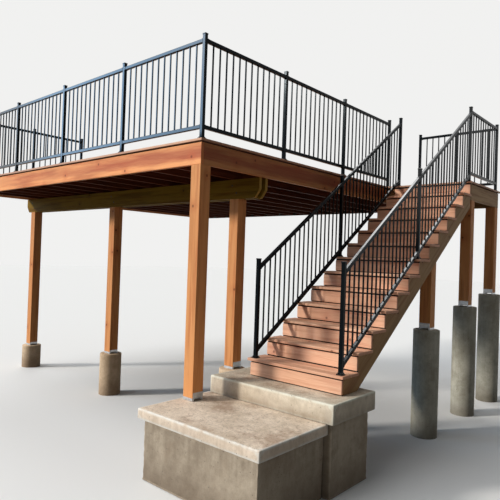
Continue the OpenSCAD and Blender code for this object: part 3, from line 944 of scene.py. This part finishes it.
def post_shoe(x, y, z, turn, tall=STRAP_H):
    """A tray under the post with its front and back rims bent down to the concrete, a strap
    up the two other faces that stands on two legs over an open slot, and nails through it.
    turn swaps the two pairs of faces, and tall is the height of the straps."""
    t = 0.003
    h = z + STANDOFF
    lo, hi = [], []
    for a in (-t, POST):
        lo += [[a, 0.004, h - 0.006], [a, 0.004, z], [a, POST - 0.020, z]]
        hi += [[a + t, POST - 0.004, h + tall], [a + t, 0.020, h - 0.006],
               [a + t, POST - 0.004, h - 0.006]]
    for b in (0.0005, POST - 0.0035):
        lo.append([0.002, b, z])
        hi.append([POST - 0.002, b + t, h])
    lo.append([-t, 0.004, h - t])
    hi.append([POST + t, POST - 0.004, h])
    lo, hi = np.array(lo), np.array(hi)
    at = np.array([x, y, 0.0])
    order = [1, 0, 2] if turn else [0, 1, 2]
    body = box_bars(lo[:, order] + at, hi[:, order] + at, 2, 0.0012, 1, 0.0006)
    b = np.tile([0.022, 0.054, 0.086, 0.118], 2)
    up = h + np.repeat([0.26, 0.74], 4) * tall
    nails = [turned(rows(a, b, up)[:, order] + at, np.array([d, 0, 0])[order],
                    bolt * [0.30, 0.20], 6) for a, d in ((-t, -1), (POST + t, 1))]
    return join(body, *nails)


piece("post_shoes", join(*[post_shoe(x, y, h, i > 2, STRAP_LOW if i < 2 else STRAP_H)
                           for i, ((x, y), h) in enumerate(zip(places, PIER_TOPS))],
                         post_shoe(-OVER - POST, OVER, SLAB_TOP, False)),
      steel, ("post_bases",))

# Screws, beam bolts and joist hangers

head = [(0.0042, -0.001), (0.0042, 0.0003), (0.0030, 0.0007), (0.0006, 0.0004)]


def screws(x, y, z):
    """Screw heads on every pair of x and y places, in boards whose top is at z."""
    gx, gy = np.meshgrid(x, y)
    return turned(rows(gx.ravel(), gy.ravel(), z - SCREW_SUNK), (0, 0, 1), head, 6)


def edge_rows(y, width):
    """Screw rows near both edges of boards that start at y."""
    return np.array([y + SCREW_IN, y + width - SCREW_IN]).ravel()


screw_x = np.concatenate([joist_x, [FRAME_X0 + PLANK / 2, FRAME_X1 - PLANK / 2]])
deck_screws = screws(screw_x, edge_rows(board_y, board_w), DECK_H)
screw_x = np.concatenate([land_x, [FRAME_X1 + 0.06, STAIR_X1 - PLANK / 2]])
landing_screws = screws(screw_x, edge_rows(landing_y, landing_w), DECK_H)
screw_x = np.array([STAIR_X0 + PLANK / 2, (STAIR_X0 + STAIR_X1) / 2, STAIR_X1 - PLANK / 2])
screw_y = edge_rows(0.0, tread_w)
screw_y = np.concatenate([screw_y, screw_y + tread_w + TREAD_GAP])
tread_screws = join(*[screws(screw_x, screw_y + nose(i), top(i)) for i in tread])
piece("deck_screws", join(deck_screws, landing_screws, tread_screws), screw)

bolts = []
for x in (P1X, P2X, P4X):
    for y, d in ((BEAM_Y, -1), (BEAM_Y + POST, 1)):
        across = np.array([-BOLT_APART, BOLT_APART]) / 2
        at = rows(x + POST / 2 + across, y, [JB - BOLT_IN, BB + BOLT_IN])
        bolts.append(turned(at, (0, d, 0), bolt * [0.8, 0.8], 12))
piece("beam_bolts", join(*bolts), dull, smooth=35)


def hangers(x, y, d):
    """Sheet metal joist hangers: two cheeks, a seat and two flanges at each joist's end.
    d is the way from the carrying plank into the joist."""
    t = 0.0015
    h = PLANK / 2
    lo, hi = [], []
    for sign in (-1, 1):
        xa = x + sign * h + (0 if sign > 0 else -t)
        xb = x + sign * (h + HANGER_WING)
        lo += [rows(xa, y, JB - t), rows(xb - HANGER_WING, y, JB)]
        hi += [rows(xa + t, y + d * HANGER_L, JB + HANGER_H),
               rows(xb + HANGER_WING, y + d * t, JB + HANGER_H)]
    lo.append(rows(x - h, y, JB - t))
    hi.append(rows(x + h, y + d * HANGER_L, JB))
    lo, hi = np.concatenate(lo), np.concatenate(hi)
    return box_bars(np.minimum(lo, hi), np.maximum(lo, hi), 2, 0.0003, 1, 0.0001)


piece("joist_hangers", join(hangers(joist_x, DECK_D - PLANK, -1),
                            hangers(land_x, RIM_Y + PLANK, 1),
                            hangers(land_x, LAND_BACK - PLANK, -1)), dull)

# Railings


def rail_post(x, y, z):
    """A square tube on a bolted foot plate, under a flat cap with a low peak."""
    h = z + CAP_TOP
    r, f, e, c = RAIL_POST / 2, FOOT_HALF, COLLAR_HALF, CAP_HALF
    tube = box_bars([x - r, y - r, z], [x + r, y + r, h - 0.006], 2, 0.003, 2, 0.001)
    foot = box_bars([x - f, y - f, z], [x + f, y + f, z + FOOT_T], 2, 0.006, 2, 0.0015)
    collar = box_bars([x - e, y - e, z + FOOT_T], [x + e, y + e, z + COLLAR_TOP], 2, 0.004, 1,
                      0.003)
    cap = box_bars([x - c, y - c, h - CAP_H], [x + c, y + c, h], 2, 0.003, 2, 0.003)
    at = np.array([[-1, -1], [1, -1], [1, 1], [-1, 1]]) * NUT_OUT + [x, y]
    nuts = turned(rows(at[:, 0], at[:, 1], z + FOOT_T), (0, 0, 1), bolt * [0.4, 0.6], 6)
    return join(tube, foot, collar, cap, nuts)


def level_panel(a, b):
    """Top rail, bottom rail, balusters and end brackets between two post centres at the
    deck's height. The balusters stand in equal steps of at most LEVEL_PITCH."""
    a, b = np.array([*a, 0.0]), np.array([*b, 0.0])
    d = (b - a) / np.linalg.norm(b - a)
    side = np.cross(Z, d)
    a, b = a + d * RAIL_POST / 2, b - d * RAIL_POST / 2
    length = np.linalg.norm(b - a)
    n = math.ceil(length / LEVEL_PITCH - 1e-6)
    zt, zb = DECK_H + RAIL_TOP - RAIL_H / 2, DECK_H + RAIL_LOW - RAIL_H / 2
    off = np.array([Z * zt, Z * zb])
    rails = bars(a + off, b + off, side, Z, RAIL_W, RAIL_H, 0.005, 3, 0.0005)
    c = a + d * (np.arange(1, n) * length / n)[:, None]
    bal = bars(c + Z * (zb + RAIL_H / 2 - 0.002), c + Z * (zt - RAIL_H / 2 + 0.002), d, side,
               BALUSTER, BALUSTER, 0.002, 1, 0.0003)
    lap = d * BRACKET
    ends = bars(np.concatenate([a + off, b - lap + off]), np.concatenate([a + lap + off, b + off]),
                side, Z, RAIL_W + BRACKET_OUT, RAIL_H + BRACKET_OUT, 0.004, 1, 0.001)
    return join(rails, bal, ends)


def raked_panel(x, ya, yb):
    """The same between two posts of the flight, sheared to the slope: sections stay plumb,
    so the rails' plumb height is their height times the slope's length. The steps between
    the balusters are at most RAKED_PITCH."""
    ya, yb = ya + RAIL_POST / 2, yb - RAIL_POST / 2
    t = RAIL_H * math.sqrt(1 + SLOPE * SLOPE)
    n = math.ceil((yb - ya) / RAKED_PITCH - 1e-6)
    off = np.array([RAKE_TOP - t / 2, RAKE_LOW + t / 2])

    def at(y, dz):
        return rows(x, y, nose_line(y) + dz)

    rails = bars(at(np.array([ya, ya]), off), at(np.array([yb, yb]), off), X, Z, RAIL_W, t,
                 0.005, 3, 0.0005)
    y = ya + np.arange(1, n) * (yb - ya) / n
    bal = bars(at(y, off[1] + t / 2 - 0.008), at(y, off[0] - t / 2 + 0.008), X, Y, BALUSTER,
               BALUSTER, 0.002, 1, 0.0003)
    e = np.array([ya, ya, yb - BRACKET, yb - BRACKET])
    ends = bars(at(e, np.tile(off, 2)), at(e + BRACKET, np.tile(off, 2)), X, Z,
                RAIL_W + BRACKET_OUT, t + BRACKET_OUT, 0.004, 1, 0.001)
    return join(rails, bal, ends)


def rail_pieces(name, node, parts):
    """One black piece for one CAD node of the railings."""
    piece(name, join(*parts), black, (node,))


front_x = [-RAIL_IN - i * FRONT_PITCH for i in range(4)] + [LEFT_X]
right_y = [RAIL_IN + i * SIDE_PITCH for i in range(4)]
left_y = [RAIL_IN, RAIL_IN + LEFT_RAIL / 2, RAIL_IN + LEFT_RAIL]
back_y = LAND_Y1 - RAIL_IN

rail_pieces("front_rail_posts", "rail_posts_front",
            [rail_post(x, RAIL_IN, DECK_H) for x in front_x])
rail_pieces("front_rail_panels", "rail_panels_front",
            [level_panel((b, RAIL_IN), (a, RAIL_IN)) for a, b in pairwise(front_x)])
rail_pieces("right_rail_posts", "rail_posts_right",
            [rail_post(-RAIL_IN, y, DECK_H) for y in right_y[1:]])
rail_pieces("right_rail_panels", "rail_panels_right",
            [level_panel((-RAIL_IN, a), (-RAIL_IN, b)) for a, b in pairwise(right_y)])
rail_pieces("left_rail_posts", "rail_posts_left",
            [rail_post(LEFT_X, y, DECK_H) for y in left_y[1:]])
rail_pieces("left_rail_panels", "rail_panels_left",
            [level_panel((LEFT_X, a), (LEFT_X, b)) for a, b in pairwise(left_y)])
rail_pieces("landing_rail_posts", "rail_posts_landing",
            [rail_post(x, back_y, DECK_H) for x in (SRX1, -RAIL_IN)])
rail_pieces("landing_side_panel", "rail_panel_landing_side",
            [level_panel((SRX1, STAIR_RAIL_Y), (SRX1, back_y))])
rail_pieces("landing_back_panel", "rail_panel_landing_back",
            [level_panel((-RAIL_IN, back_y), (SRX1, back_y))])
newels = ((nose(1) + NEWEL_IN, top(1)), (nose(7) + NEWEL_IN, top(7)), (STAIR_RAIL_Y, DECK_H))
for name, x in (("left", SRX0), ("right", SRX1)):
    rail_pieces("flight_posts_" + name, "stair_rail_posts_" + name,
                [rail_post(x, y, z) for y, z in newels])
    rail_pieces("flight_rail_" + name, "stair_rail_" + name,
                [raked_panel(x, a[0], b[0]) for a, b in pairwise(newels)])

# Floor, light and camera

FLOOR_HALF = 60.0
FLOOR_SEEN = (0.84, 0.83, 0.81)
FLOOR_BOUNCE = (0.13, 0.125, 0.12)
FOCAL_PX = 521.76
IMAGE_PX = 500
SENSOR = 36.0


def seen_rays(nodes, links):
    """1 for rays that show the backdrop itself, 0 for those that only carry its light."""
    path = nodes.new("ShaderNodeLightPath")
    out = path.outputs["Is Camera Ray"]
    for name in ("Is Glossy Ray", "Is Transmission Ray"):
        n = nodes.new("ShaderNodeMath")
        n.operation = "MAXIMUM"
        links.new(out, n.inputs[0])
        links.new(path.outputs[name], n.inputs[1])
        out = n.outputs[0]
    return out


def floor():
    """One large flat square of pale matt paper that keeps the shadow."""
    mesh = bpy.data.meshes.new("studio_floor")
    s = FLOOR_HALF
    mesh.from_pydata([(-s, -s, 0), (s, -s, 0), (s, s, 0), (-s, s, 0)], [], [(0, 1, 2, 3)])
    obj = placed("studio_floor", mesh)
    t = Finish("pale_floor")
    t.finish(t.mix(seen_rays(t.nodes, t.links), FLOOR_BOUNCE, FLOOR_SEEN), 0.9)
    mesh.materials.append(t.mat)


def sun(name, aim, energy, angle, colour):
    """A far lamp that shines along aim, with shadows as soft as its angle in degrees."""
    light = bpy.data.lights.new(name, "SUN")
    light.energy = energy
    light.angle = math.radians(angle)
    light.color = colour
    obj = placed(name, light)
    obj.rotation_euler = Vector(aim).to_track_quat("-Z", "Y").to_euler()


def backdrop():
    """A dim cool light from all round, under a plain pale backdrop for the rays that see it."""
    world = bpy.data.worlds.new("studio")
    bpy.context.scene.world = world
    world.use_nodes = True
    nodes, links = world.node_tree.nodes, world.node_tree.links
    dim = nodes["Background"]
    dim.inputs["Color"].default_value = (0.84, 0.93, 1.0, 1.0)
    dim.inputs["Strength"].default_value = 0.125
    seen = nodes.new("ShaderNodeBackground")
    seen.inputs["Color"].default_value = (0.88, 0.88, 0.87, 1.0)
    both = nodes.new("ShaderNodeMixShader")
    links.new(seen_rays(nodes, links), both.inputs[0])
    links.new(dim.outputs[0], both.inputs[1])
    links.new(seen.outputs[0], both.inputs[2])
    links.new(both.outputs[0], nodes["World Output"].inputs["Surface"])


YAW, PITCH, ROLL = 0.7249, 0.0128, 0.0344
EYE = 3.7387, -3.4531, DECK_H - 1.1459


def camera():
    """The photo's viewpoint at EYE: a level look turned left by YAW, then tipped up by PITCH
    and rolled by ROLL."""
    level = np.array([-math.sin(YAW), math.cos(YAW), 0.0])
    right = np.array([math.cos(YAW), math.sin(YAW), 0.0])
    look = level * math.cos(PITCH) + Z * math.sin(PITCH)
    rise = -level * math.sin(PITCH) + Z * math.cos(PITCH)
    cam_x = right * math.cos(ROLL) + rise * math.sin(ROLL)
    cam_y = -right * math.sin(ROLL) + rise * math.cos(ROLL)
    data = bpy.data.cameras.new("camera")
    data.sensor_width = SENSOR
    data.lens = SENSOR * FOCAL_PX / IMAGE_PX
    data.clip_end = 200.0
    obj = placed("camera", data)
    turn = np.stack([cam_x, cam_y, -look, CENTRE + EYE], -1)
    obj.matrix_world = Matrix([*turn.tolist(), [0, 0, 0, 1]])
    bpy.context.scene.camera = obj


floor()
sun("key", (0.5285, 0.7603, -0.3746), 2.85, 8, (1.0, 0.96, 0.90))
sun("cool_side", (0.77, 0.59, -0.25), 0.52, 24, (0.32, 0.63, 1.0))
sun("overhead", (0.30, 0.34, -0.89), 1.25, 45, (0.96, 0.98, 1.0))
sun("behind", (0.52, -0.28, -0.81), 0.62, 26, (1.0, 1.0, 1.0))
backdrop()
camera()
bpy.context.scene.view_settings.view_transform = "Standard"
